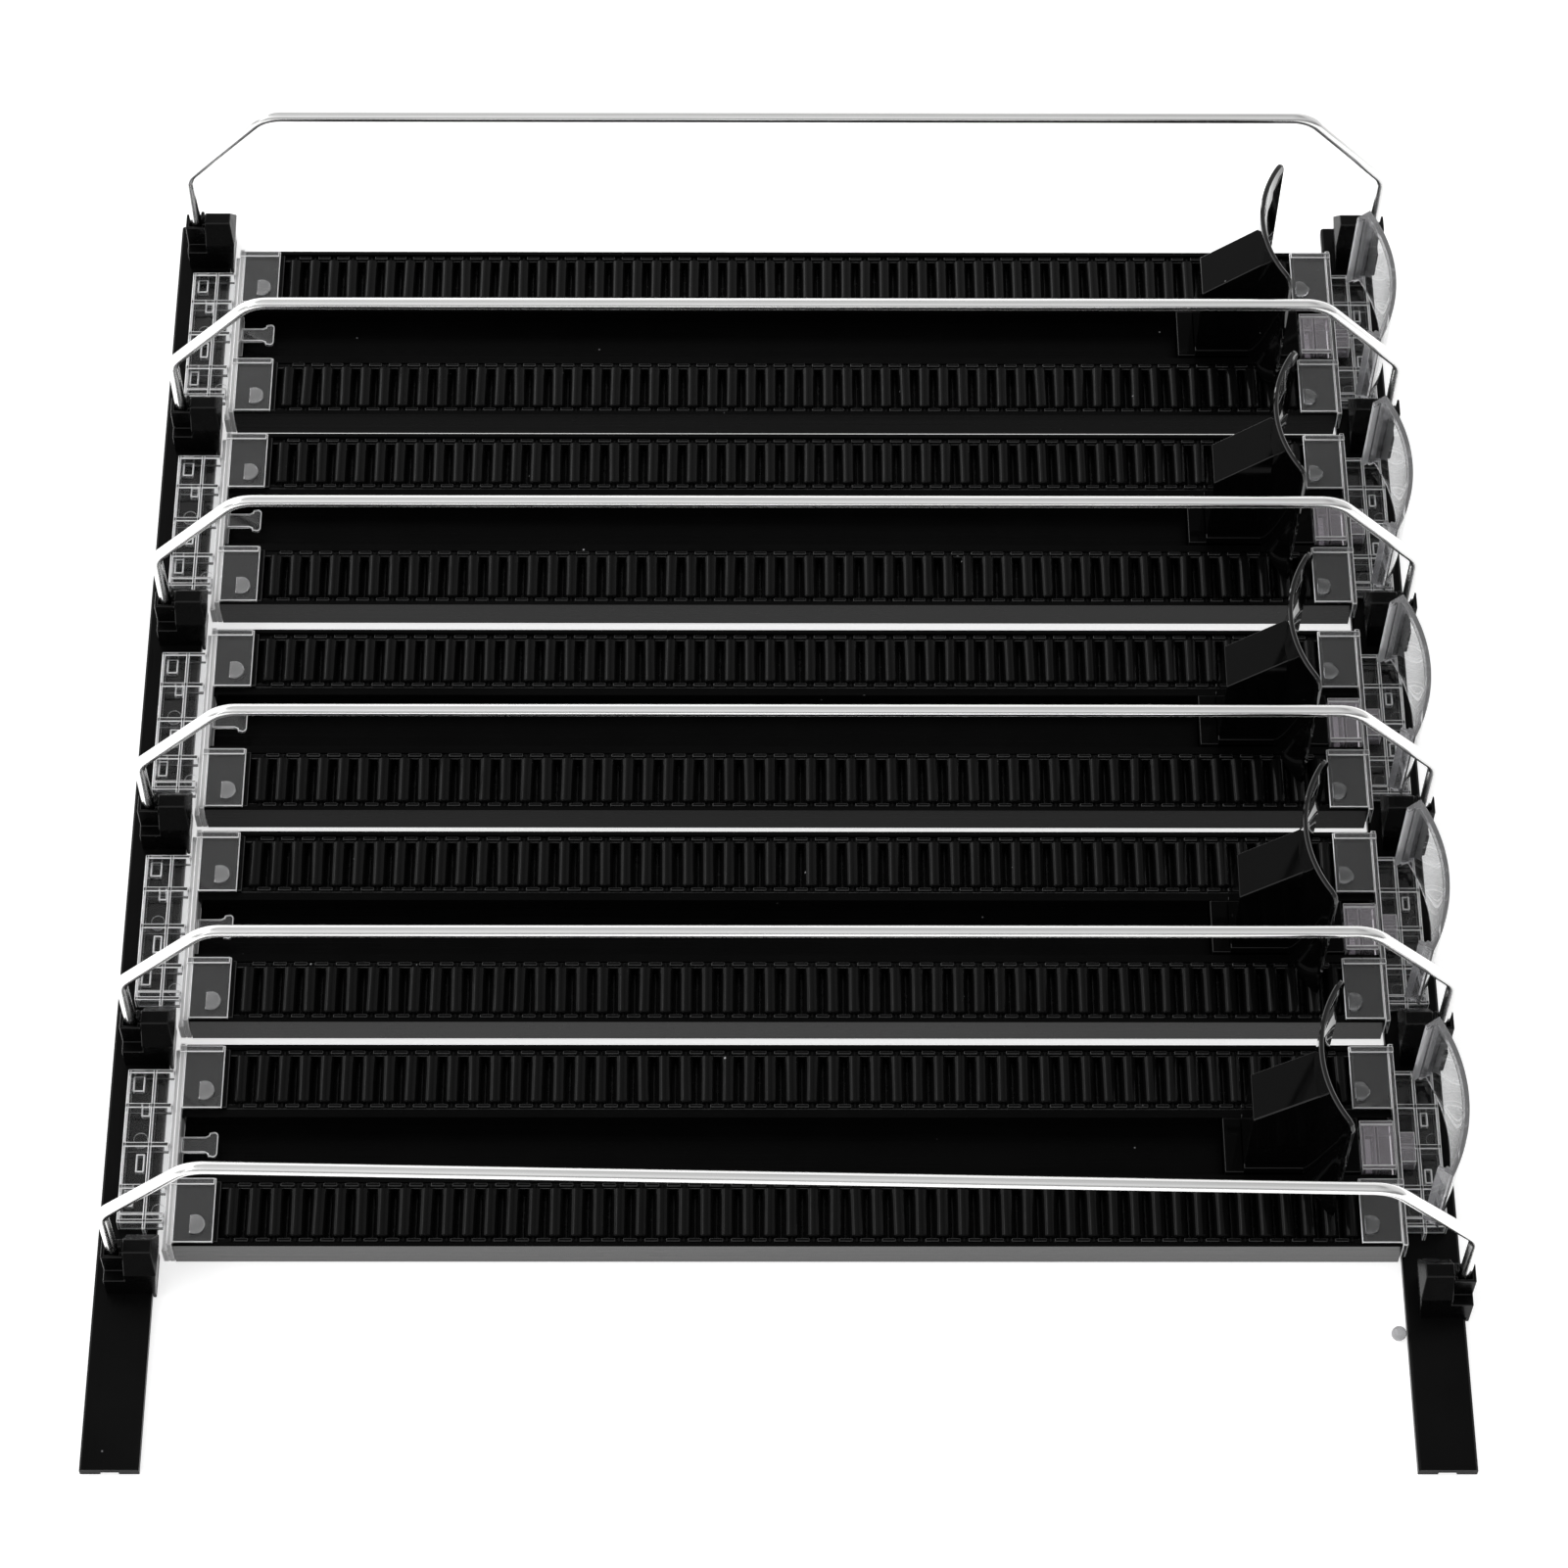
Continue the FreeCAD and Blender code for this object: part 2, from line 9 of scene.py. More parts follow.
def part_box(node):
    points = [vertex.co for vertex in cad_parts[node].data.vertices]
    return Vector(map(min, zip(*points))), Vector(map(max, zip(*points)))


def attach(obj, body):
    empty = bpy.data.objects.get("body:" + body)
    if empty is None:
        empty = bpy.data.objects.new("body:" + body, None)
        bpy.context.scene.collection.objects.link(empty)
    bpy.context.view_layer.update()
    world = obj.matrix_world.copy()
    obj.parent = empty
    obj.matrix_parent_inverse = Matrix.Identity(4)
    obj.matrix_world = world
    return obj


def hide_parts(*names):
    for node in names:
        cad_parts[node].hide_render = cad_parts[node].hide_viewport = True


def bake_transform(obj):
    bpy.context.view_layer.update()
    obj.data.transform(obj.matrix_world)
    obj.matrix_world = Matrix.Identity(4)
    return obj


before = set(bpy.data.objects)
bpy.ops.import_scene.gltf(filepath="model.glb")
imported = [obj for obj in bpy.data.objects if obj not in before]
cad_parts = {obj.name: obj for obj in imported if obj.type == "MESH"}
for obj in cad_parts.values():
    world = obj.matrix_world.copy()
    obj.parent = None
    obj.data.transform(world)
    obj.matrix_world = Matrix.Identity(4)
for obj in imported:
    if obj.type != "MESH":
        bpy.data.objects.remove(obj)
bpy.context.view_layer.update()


# Base rails. Two flat bars of black extruded plastic lie on the shelf and carry everything else.
# Their surface is smooth from the die, with faint lines drawn along the bar, and it picks up specks of dust.
def dust_group():
    """Sparse pale specks of dust and lint: fine noise cells, kept only where a coarse noise allows them."""
    group = bpy.data.node_groups.new("dust_specks", "ShaderNodeTree")
    group.interface.new_socket("Coordinates", in_out="INPUT", socket_type="NodeSocketVector")
    group.interface.new_socket("Amount", in_out="INPUT", socket_type="NodeSocketFloat")
    group.interface.new_socket("Colour", in_out="INPUT", socket_type="NodeSocketColor")
    group.interface.new_socket("Colour", in_out="OUTPUT", socket_type="NodeSocketColor")
    group.interface.new_socket("Mask", in_out="OUTPUT", socket_type="NodeSocketFloat")
    add = group.nodes.new
    entry, leave = add("NodeGroupInput"), add("NodeGroupOutput")
    speck, patch = add("ShaderNodeTexVoronoi"), add("ShaderNodeTexNoise")
    speck.inputs["Scale"].default_value = 260.0
    patch.inputs["Scale"].default_value = 95.0
    near, allow, both = add("ShaderNodeMapRange"), add("ShaderNodeMapRange"), add("ShaderNodeMath")
    near.inputs["From Min"].default_value = 0.10
    near.inputs["From Max"].default_value = 0.05
    allow.inputs["From Min"].default_value = 0.66
    allow.inputs["From Max"].default_value = 0.72
    both.operation = "MULTIPLY"
    amount, mix = add("ShaderNodeMath"), add("ShaderNodeMix")
    amount.operation = "MULTIPLY"
    mix.data_type = "RGBA"
    mix.inputs["B"].default_value = (0.42, 0.42, 0.43, 1)
    link = group.links.new
    link(entry.outputs["Coordinates"], speck.inputs["Vector"])
    link(entry.outputs["Coordinates"], patch.inputs["Vector"])
    link(speck.outputs["Distance"], near.inputs["Value"])
    link(patch.outputs["Fac"], allow.inputs["Value"])
    link(near.outputs["Result"], both.inputs[0])
    link(allow.outputs["Result"], both.inputs[1])
    link(both.outputs[0], amount.inputs[0])
    link(entry.outputs["Amount"], amount.inputs[1])
    link(amount.outputs[0], mix.inputs["Factor"])
    link(entry.outputs["Colour"], mix.inputs["A"])
    link(mix.outputs["Result"], leave.inputs["Colour"])
    link(amount.outputs[0], leave.inputs["Mask"])
    return group


def grain_group():
    """Fine relief of a moulded or drawn surface: noise stretched along one direction over a cloudy noise."""
    group = bpy.data.node_groups.new("surface_grain", "ShaderNodeTree")
    group.interface.new_socket("Coordinates", in_out="INPUT", socket_type="NodeSocketVector")
    group.interface.new_socket("Stretch", in_out="INPUT", socket_type="NodeSocketVector")
    group.interface.new_socket("Rough Low", in_out="INPUT", socket_type="NodeSocketFloat")
    group.interface.new_socket("Rough High", in_out="INPUT", socket_type="NodeSocketFloat")
    group.interface.new_socket("Height", in_out="OUTPUT", socket_type="NodeSocketFloat")
    group.interface.new_socket("Roughness", in_out="OUTPUT", socket_type="NodeSocketFloat")
    group.interface.new_socket("Cloud", in_out="OUTPUT", socket_type="NodeSocketFloat")
    add = group.nodes.new
    entry, leave = add("NodeGroupInput"), add("NodeGroupOutput")
    scale, lines, cloud = add("ShaderNodeVectorMath"), add("ShaderNodeTexNoise"), add("ShaderNodeTexNoise")
    scale.operation = "MULTIPLY"
    lines.inputs["Scale"].default_value = 1.0
    lines.inputs["Detail"].default_value = 3.0
    cloud.inputs["Scale"].default_value = 55.0
    cloud.inputs["Detail"].default_value = 4.0
    blend, spread = add("ShaderNodeMath"), add("ShaderNodeMapRange")
    blend.operation = "ADD"
    spread.inputs["From Min"].default_value = 0.65
    spread.inputs["From Max"].default_value = 1.35
    link = group.links.new
    link(entry.outputs["Coordinates"], scale.inputs[0])
    link(entry.outputs["Stretch"], scale.inputs[1])
    link(scale.outputs[0], lines.inputs["Vector"])
    link(entry.outputs["Coordinates"], cloud.inputs["Vector"])
    link(lines.outputs["Fac"], blend.inputs[0])
    link(cloud.outputs["Fac"], blend.inputs[1])
    link(blend.outputs[0], spread.inputs["Value"])
    link(entry.outputs["Rough Low"], spread.inputs["To Min"])
    link(entry.outputs["Rough High"], spread.inputs["To Max"])
    link(lines.outputs["Fac"], leave.inputs["Height"])
    link(spread.outputs["Result"], leave.inputs["Roughness"])
    link(cloud.outputs["Fac"], leave.inputs["Cloud"])
    return group


def upright_group():
    """Mask that is one on faces standing upright along X, the die-polished flanks of an extrusion."""
    group = bpy.data.node_groups.new("upright_faces", "ShaderNodeTree")
    group.interface.new_socket("Normal", in_out="INPUT", socket_type="NodeSocketVector")
    group.interface.new_socket("Amount", in_out="INPUT", socket_type="NodeSocketFloat")
    group.interface.new_socket("Mask", in_out="OUTPUT", socket_type="NodeSocketFloat")
    add = group.nodes.new
    entry, leave = add("NodeGroupInput"), add("NodeGroupOutput")
    split, size, step, amount = (add(kind) for kind in ("ShaderNodeSeparateXYZ", "ShaderNodeMath",
                                                        "ShaderNodeMapRange", "ShaderNodeMath"))
    size.operation, amount.operation = "ABSOLUTE", "MULTIPLY"
    step.inputs["From Min"].default_value = 0.85
    step.inputs["From Max"].default_value = 0.95
    link = group.links.new
    link(entry.outputs["Normal"], split.inputs[0])
    link(split.outputs["Y"], size.inputs[0])
    link(size.outputs[0], step.inputs["Value"])
    link(step.outputs["Result"], amount.inputs[0])
    link(entry.outputs["Amount"], amount.inputs[1])
    link(amount.outputs[0], leave.inputs["Mask"])
    return group


dust_specks = dust_group()
surface_grain = grain_group()
upright_faces = upright_group()


def black_plastic(name, colour, rough, stretch, relief, specular, dust, polish=0.0):
    """Black moulded or extruded plastic: grain in roughness and relief, polish on its flanks, dust on top."""
    material = bpy.data.materials.new(name)
    material.use_nodes = True
    nodes, link = material.node_tree.nodes, material.node_tree.links.new
    shader = nodes["Principled BSDF"]
    place = nodes.new("ShaderNodeTexCoord")
    grain, specks, flank = (nodes.new("ShaderNodeGroup") for _ in range(3))
    grain.node_tree, specks.node_tree = surface_grain, dust_specks
    grain.inputs["Stretch"].default_value = stretch
    grain.inputs["Rough Low"].default_value = rough[0]
    grain.inputs["Rough High"].default_value = rough[1]
    specks.inputs["Amount"].default_value = dust
    tint, bump = nodes.new("ShaderNodeMix"), nodes.new("ShaderNodeBump")
    tint.data_type = "RGBA"
    tint.inputs["A"].default_value = (*colour, 1)
    tint.inputs["B"].default_value = (*[2.0 * part for part in colour], 1)
    bump.inputs["Distance"].default_value = relief
    bump.inputs["Strength"].default_value = 1.0
    shader.inputs["Specular IOR Level"].default_value = specular
    shader.inputs["Coat Roughness"].default_value = 0.12
    flank.node_tree = upright_faces
    flank.inputs["Amount"].default_value = polish
    link(place.outputs["Normal"], flank.inputs["Normal"])
    link(flank.outputs["Mask"], shader.inputs["Coat Weight"])
    link(place.outputs["Object"], grain.inputs["Coordinates"])
    link(place.outputs["Object"], specks.inputs["Coordinates"])
    link(grain.outputs["Cloud"], tint.inputs["Factor"])
    link(tint.outputs["Result"], specks.inputs["Colour"])
    link(specks.outputs["Colour"], shader.inputs["Base Color"])
    link(grain.outputs["Roughness"], shader.inputs["Roughness"])
    link(grain.outputs["Height"], bump.inputs["Height"])
    link(bump.outputs["Normal"], shader.inputs["Normal"])
    return material


def dress(node, material):
    """Gives a CAD node its finish."""
    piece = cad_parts[node]
    piece.data.materials.clear()
    piece.data.materials.append(material)


rail_plastic = black_plastic("rail_black_extruded", (0.0022, 0.0022, 0.0022), (0.25, 0.4), (900, 6, 900),
                             0.00003, 0.06, 1.0)
for rail in ("rear_rail", "front_rail"):
    dress(rail, rail_plastic)


# Lane tracks. Each is one black extrusion cut to length, with an open bay on each side for the
# roller strips and a lipped channel between them for the pusher. It drops onto both rails' connectors.
lanes = range(1, 6)
for lane, polish in zip(lanes, (0.0, 0.4, 0.1, 0.45, 1.0)):
    track_plastic = black_plastic(f"track_black_extruded_{lane}", (0.0012, 0.0012, 0.0012), (0.2, 0.34),
                                  (6, 700, 700), 0.00003, 0.04, 1.0, polish)
    dress(f"lane_track_{lane}", track_plastic)
track_low, track_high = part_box("lane_track_1")
track_top = track_high[2] * 1000
middle_x = (track_low[0] + track_high[0]) * 500
track_end = track_high[0] * 1000 - middle_x
lane_y = {lane: sum(corner[1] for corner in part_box(f"lane_track_{lane}")) * 500 for lane in lanes}


# Roller strips. A black ladder frame snaps into each bay and holds 53 small free rollers on their pins.
# The frame's side rails carry a raised land between every two pins, and plain decks at both ends.
def build(name, shapes, material, body, smooth_angle=None):
    """One mesh from several (points in millimetres, faces) shapes, at the origin, riding on a body."""
    points, faces, count = [], [], 0
    for shape_points, shape_faces in shapes:
        points.append(np.asarray(shape_points, float).reshape(-1, 3))
        faces += [[index + count for index in face] for face in shape_faces]
        count += len(points[-1])
    mesh = bpy.data.meshes.new(name)
    mesh.from_pydata((np.concatenate(points) * 0.001).tolist(), [], faces)
    mesh.validate()
    if smooth_angle:
        mesh.shade_smooth()
        mesh.set_sharp_from_angle(angle=math.radians(smooth_angle))
    mesh.materials.append(material)
    piece = bpy.data.objects.new(name, mesh)
    bpy.context.scene.collection.objects.link(piece)
    if body:
        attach(piece, body)
    return piece


def skins(rings):
    """Closed loops carried along a path, for many copies at once.
    rings is (copy, ring, point, xyz): neighbouring rings are joined by quads and the end rings are capped."""
    rings = np.asarray(rings, float)
    copies, ring_count, around = rings.shape[:3]
    index = np.arange(copies * ring_count * around).reshape(copies, ring_count, around)
    ahead = np.roll(index, -1, axis=2)
    quads = np.stack([index[:, :-1], ahead[:, :-1], ahead[:, 1:], index[:, 1:]], axis=-1).reshape(-1, 4)
    faces = quads.tolist() + index[:, 0, ::-1].tolist() + index[:, -1].tolist()
    return rings.reshape(-1, 3), faces


def boxes(rows):
    """Upright boxes from rows of lowest and highest corner: each is a square foot carried up to its top."""
    rows = np.atleast_2d(rows).astype(float)
    low, high = np.minimum(rows[:, :3], rows[:, 3:]), np.maximum(rows[:, :3], rows[:, 3:])
    side = np.array([[0, 0], [1, 0], [1, 1], [0, 1]])
    plan = low[:, None, :2] + (high - low)[:, None, :2] * side
    loops = [np.concatenate([plan, np.broadcast_to(height[:, None, None], plan.shape[:2] + (1,))], axis=2)
             for height in (low[:, 2], high[:, 2])]
    return skins(np.stack(loops, axis=1))


def crisp(piece, radius, edge, segments=2, angle=35):
    """Mould radii on every edge, in a lighter material of their own: a painted highlight along the edges."""
    piece.data.materials.append(edge)
    bevel = piece.modifiers.new("mould_radius", "BEVEL")
    bevel.width = radius * 0.001
    bevel.segments = segments
    bevel.limit_method = "ANGLE"
    bevel.angle_limit = math.radians(angle)
    bevel.harden_normals = True
    bevel.material = 1


roller_plastic = black_plastic("roller_black_satin", (0.0022, 0.0022, 0.0022), (0.07, 0.16), (420, 60, 420),
                               0.00006, 0.11, 1.0)
ladder_plastic = black_plastic("ladder_black_satin", (0.0015, 0.0015, 0.0015), (0.25, 0.4), (500, 500, 500),
                               0.00003, 0.06, 1.0)
# Edge materials for the bevels: a lighter, more specular black, painted highlight along the edges.
ladder_edge_painted_highlight = black_plastic("ladder_black_edge_painted_highlight", (0.014, 0.014, 0.014), (0.2, 0.32), (400, 400, 400),
                            0.00002, 0.6, 0.0)
black_edge_painted_highlight = black_plastic("black_plastic_edge_painted_highlight", (0.002, 0.002, 0.002), (0.15, 0.25), (400, 400, 400),
                           0.00002, 0.3, 0.0)
roller_count, roller_top, roller_radius = 53, track_top + 0.42, 2.15
roller_chamfer, roller_inset = 0.3, 1.9
pin_radius, pin_reach, pin_lift = 0.55, 1.4, 0.4
first_roller, last_roller = -track_end + 12.7, track_end - 10.4
roller_pitch = (last_roller - first_roller) / roller_count
luck = np.random.default_rng(11)


def roller_row(y_low, y_high):
    """Rollers along Y: each is a turned profile of radius against length, with chamfered ends and pins.
    Every roller has its own small drift, lift and lean, as loose rollers have."""
    drift, bounce, skew, roller_sides, pin_sides = 0.06, 0.03, 0.008, 14, 6
    centre = middle_x + first_roller + (np.arange(roller_count) + 0.5) * roller_pitch
    centre = centre + luck.normal(0, drift, roller_count)
    lift = luck.normal(0, bounce, roller_count)
    lean = luck.normal(0, skew, roller_count)
    along = np.array([y_low, y_low + roller_chamfer, y_high - roller_chamfer, y_high])
    radius = roller_radius - roller_chamfer * np.array([1, 0, 0, 1])
    turn = np.linspace(0, 2 * np.pi, roller_sides, endpoint=False)[None, :]
    turn = turn + luck.uniform(0, 1, roller_count)[:, None]
    x = centre[:, None, None] + radius[None, :, None] * np.cos(turn)[:, None, :]
    x = x + lean[:, None, None] * (along - along.mean())[None, :, None]
    z = (roller_top - roller_radius + lift)[:, None, None] + radius[None, :, None] * np.sin(turn)[:, None, :]
    y = np.broadcast_to(along[None, :, None], x.shape)
    bodies = skins(np.stack([x, y, z], axis=-1)[:, :, ::-1])
    turn = np.linspace(0, 2 * np.pi, pin_sides, endpoint=False)
    ends = np.array([y_low - pin_reach, y_high + pin_reach])
    x = centre[:, None, None] + pin_radius * np.cos(turn) + np.zeros((1, 2, 1))
    z = roller_top - roller_radius + pin_lift + pin_radius * np.sin(turn) + np.zeros_like(x)
    y = np.broadcast_to(ends[None, :, None], x.shape)
    pins = skins(np.stack([x, y, z], axis=-1)[:, :, ::-1])
    return [bodies, pins]


def ladder(y_low, y_high):
    """Side rails with a land between every two pins, rungs between the rollers, a floor and two decks."""
    ends = middle_x + np.array([-track_end, first_roller, last_roller, track_end])
    width, floor_thick, deck_gap = 1.7, 0.9, 0.4
    rung_half, rung_rise, land_half, land_width, land_inset = 0.35, 1.8, 1.95, 1.15, 0.25
    foot, rail_top, deck_top, land_top = 3.4, track_top - 1.2, track_top - 0.1, track_top - 0.25
    line = [(ends[0], y_low, foot, ends[3], y_low + width, rail_top),
            (ends[0], y_high - width, foot, ends[3], y_high, rail_top),
            (ends[0], y_low, foot, ends[3], y_high, foot + floor_thick),
            (ends[0], y_low, foot, ends[1] - deck_gap, y_high, deck_top),
            (ends[2] + deck_gap, y_low, foot, ends[3], y_high, deck_top)]
    between = middle_x + first_roller + np.arange(roller_count + 1) * roller_pitch
    between = between[1:-1]

    def row(half, y_start, z_low, y_end, z_high):
        level = np.ones_like(between)
        return np.stack([between - half, level * y_start, level * z_low,
                         between + half, level * y_end, level * z_high], axis=1)

    rung = row(rung_half, y_low + 1, foot + 0.2, y_high - 1, foot + rung_rise)
    lands = [row(land_half, start, rail_top - 0.3, start + land_width, land_top)
             for start in (y_low + land_inset, y_high - land_inset - land_width)]
    return [boxes(line), boxes(rung), boxes(np.concatenate(lands))]


for lane in lanes:
    for side in ("far", "near"):
        node = f"roller_strip_{side}_{lane}"
        low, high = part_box(node)
        y_low, y_high = low[1] * 1000, high[1] * 1000
        build(f"rollers_{side}_{lane}", roller_row(y_low + roller_inset, y_high - roller_inset),
              roller_plastic, "base", 40)
        frame_piece = build(f"ladder_{side}_{lane}", ladder(y_low, y_high), ladder_plastic, "base")
        crisp(frame_piece, 0.25, ladder_edge_painted_highlight, 1)
        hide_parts(node)


# Clear connectors. Injection-moulded clear plastic pieces join every track to a rail: tabs over the strips,
# a stepped end wall, and a ribbed tray over the rail. Edges are slightly rounded by the mould; the light that
# runs along them is painted, as a whiter scattering clear on the bevels. Round ejector marks and half-round
# bumps show on the flats; the rear bumps' crowns and the rear end wall are whiter clear too, painted light.
def clear_plastic(name, tint, rough, passing, waves=0.00003):
    """Clear plastic: a dielectric with faint flow waves in its surface. Passing is the share let through
    and not scattered, and waves is the height of the relief in metres."""
    material = bpy.data.materials.new(name)
    material.use_nodes = True
    nodes, link = material.node_tree.nodes, material.node_tree.links.new
    shader = nodes["Principled BSDF"]
    shader.inputs["Transmission Weight"].default_value = passing
    shader.inputs["IOR"].default_value = 1.49
    place, grain, bump, colour = (nodes.new(kind) for kind in ("ShaderNodeTexCoord", "ShaderNodeGroup",
                                                               "ShaderNodeBump", "ShaderNodeMix"))
    colour.data_type = "RGBA"
    colour.inputs["A"].default_value = (*tint, 1)
    colour.inputs["B"].default_value = (*[min(1.0, part * 1.04) for part in tint], 1)
    grain.node_tree = surface_grain
    grain.inputs["Stretch"].default_value = (160, 160, 160)
    grain.inputs["Rough Low"].default_value = rough[0]
    grain.inputs["Rough High"].default_value = rough[1]
    bump.inputs["Distance"].default_value = waves
    bump.inputs["Strength"].default_value = 1.0
    link(place.outputs["Object"], grain.inputs["Coordinates"])
    link(grain.outputs["Cloud"], colour.inputs["Factor"])
    link(colour.outputs["Result"], shader.inputs["Base Color"])
    link(grain.outputs["Roughness"], shader.inputs["Roughness"])
    link(grain.outputs["Height"], bump.inputs["Height"])
    link(bump.outputs["Normal"], shader.inputs["Normal"])
    return material


# Copies of one clear plastic: the polished flats; on the bevels a whiter, scattering copy, painted highlight;
# for the rear end wall a half-scattering copy, painted light where the black below would show through; for the
# rear bumps' crowns a lightly scattering copy, painted highlight.
clear = clear_plastic("clear_plastic_polished", (0.95, 0.955, 0.965), (0.01, 0.05), 0.985)
clear_edge_painted_highlight = clear_plastic("clear_plastic_edge_painted_highlight", (0.97, 0.965, 0.98), (0.15, 0.35), 0.1)
clear_wall_painted_light = clear_plastic("clear_plastic_wall_painted_light", (0.97, 0.965, 0.98), (0.1, 0.25), 0.5)
clear_crown_painted_highlight = clear_plastic("clear_plastic_crown_painted_highlight", (0.97, 0.97, 0.98), (0.05, 0.15), 0.86)
violet = clear_plastic("clear_plastic_violet", (0.95, 0.90, 0.96), (0.02, 0.08), 0.8)
tab_top = track_top + 1.0
wall_start, wall_end = track_end + 0.15, track_end + 1.65


def outward(way, rows, y):
    """Box rows given as distances from the track's middle, turned to the rear (-1) or front (1) end."""
    rows = np.atleast_2d(rows).astype(float)
    rows[:, [0, 3]] = middle_x + way * rows[:, [0, 3]]
    rows[:, [1, 4]] += y
    return boxes(rows)


def tab_rows():
    """Two tabs with a raised strip along the far edge."""
    inner, outer, tab_reach, strip_reach, strip_top = 10.8, 30.2, 11.0, 10.6, tab_top + 0.55
    rows = []
    for low, high in ((inner, outer), (-outer, -inner)):
        rows.append((track_end - tab_reach, low, track_top, wall_start, high, tab_top))
        rows.append((track_end - strip_reach, high - 2.2, tab_top - 0.1, wall_end, high - 0.2, strip_top))
    return rows


def tray_rows(start, end, middle, far, near, ribs, slots):
    """Tray over the rail: floor, walls, a rib along it, ribs across it and a raised lip round each slot."""
    foot, top, lip, lip_top = 3.0, 8.0, 0.55, 5.2
    floor_thick, end_wall, side_wall, rib_half, spine_half = 1.0, 0.9, 1.2, 0.75, 0.5
    rows = [(start, near, foot, end, far, foot + floor_thick), (end - end_wall, near, foot, end, far, top),
            (start, far - side_wall, foot, end, far, top), (start, near, foot, end, near + side_wall, top),
            (start, near + 2.4, foot, end - end_wall, near + 3.2, top),
            (middle - spine_half, near - 2.0, foot, middle + spine_half, far, top)]
    rows += [(start, rib - rib_half, foot, end, rib + rib_half, top) for rib in ribs]
    for low, high, side, size in slots:
        rows += [(low, side, foot, low + lip, side + size, lip_top),
                 (high - lip, side, foot, high, side + size, lip_top),
                 (low, side, foot, high, side + lip, lip_top),
                 (low, side + size - lip, foot, high, side + size, lip_top)]
    return rows


def half_round(x, y, radius):
    """Half-round bump on a tab: a D-shaped loop, its flat towards the rear, drawn in to a crown as it rises."""
    turn = np.linspace(-np.pi / 2, np.pi / 2, 13)
    plan = np.stack([radius * np.cos(turn), radius * np.sin(turn)], axis=1)
    plan = np.concatenate([plan, radius * np.array([[-0.45, 0.9], [-0.45, -0.9]])])
    loops = [np.concatenate([plan * size + (x, y), np.full((len(plan), 1), tab_top + lift)], axis=1)
             for lift, size in ((-0.05, 1.0), (0.5, 1.0), (0.8, 0.88), (0.95, 0.65), (1.0, 0.35))]
    return skins(np.stack(loops)[None])


def ring_mark(x, y, z, radius):
    """Ejector mark: a low round bead, its section a small half circle carried round."""
    turn = np.linspace(0, 2 * np.pi, 28, endpoint=False)
    section = np.linspace(0, 2 * np.pi, 8, endpoint=False)
    half_width, half_height = 0.16, 0.12
    reach = radius + half_width * np.cos(section)[None, :]
    rise = z + half_height * np.sin(section)[None, :]
    points = np.stack([x + reach * np.cos(turn)[:, None], y + reach * np.sin(turn)[:, None],
                       np.broadcast_to(rise, (28, 8))], axis=-1)
    points = np.concatenate([points, points[:1]])
    return skins(points[None, :, ::-1])


def tongue(y, low, high):
    """Tongue of the rear connector: a neck and a head with round corners, the outline lifted to a plate."""
    turn = np.linspace(0, np.pi / 2, 6)
    neck, bend = 2.4, 1.2
    near_corner = np.stack([bend * np.sin(turn), bend * np.cos(turn)], axis=1)
    head_in, head_out = track_end - 7.4, track_end - 10.0
    side = [(wall_start, neck), (head_in + 1.0, neck), (head_in, 2.9), (head_in, 3.6)]
    side += [(head_out + bend - along, 2.7 + across) for along, across in near_corner]
    outline = np.array(side + [(x, -across) for x, across in side[::-1]])
    outline[:, 0] = middle_x - outline[:, 0]
    outline[:, 1] += y
    loops = [np.concatenate([outline, np.full((len(outline), 1), height)], axis=1) for height in (low, high)]
    return skins(np.stack(loops)[None, ::-1])


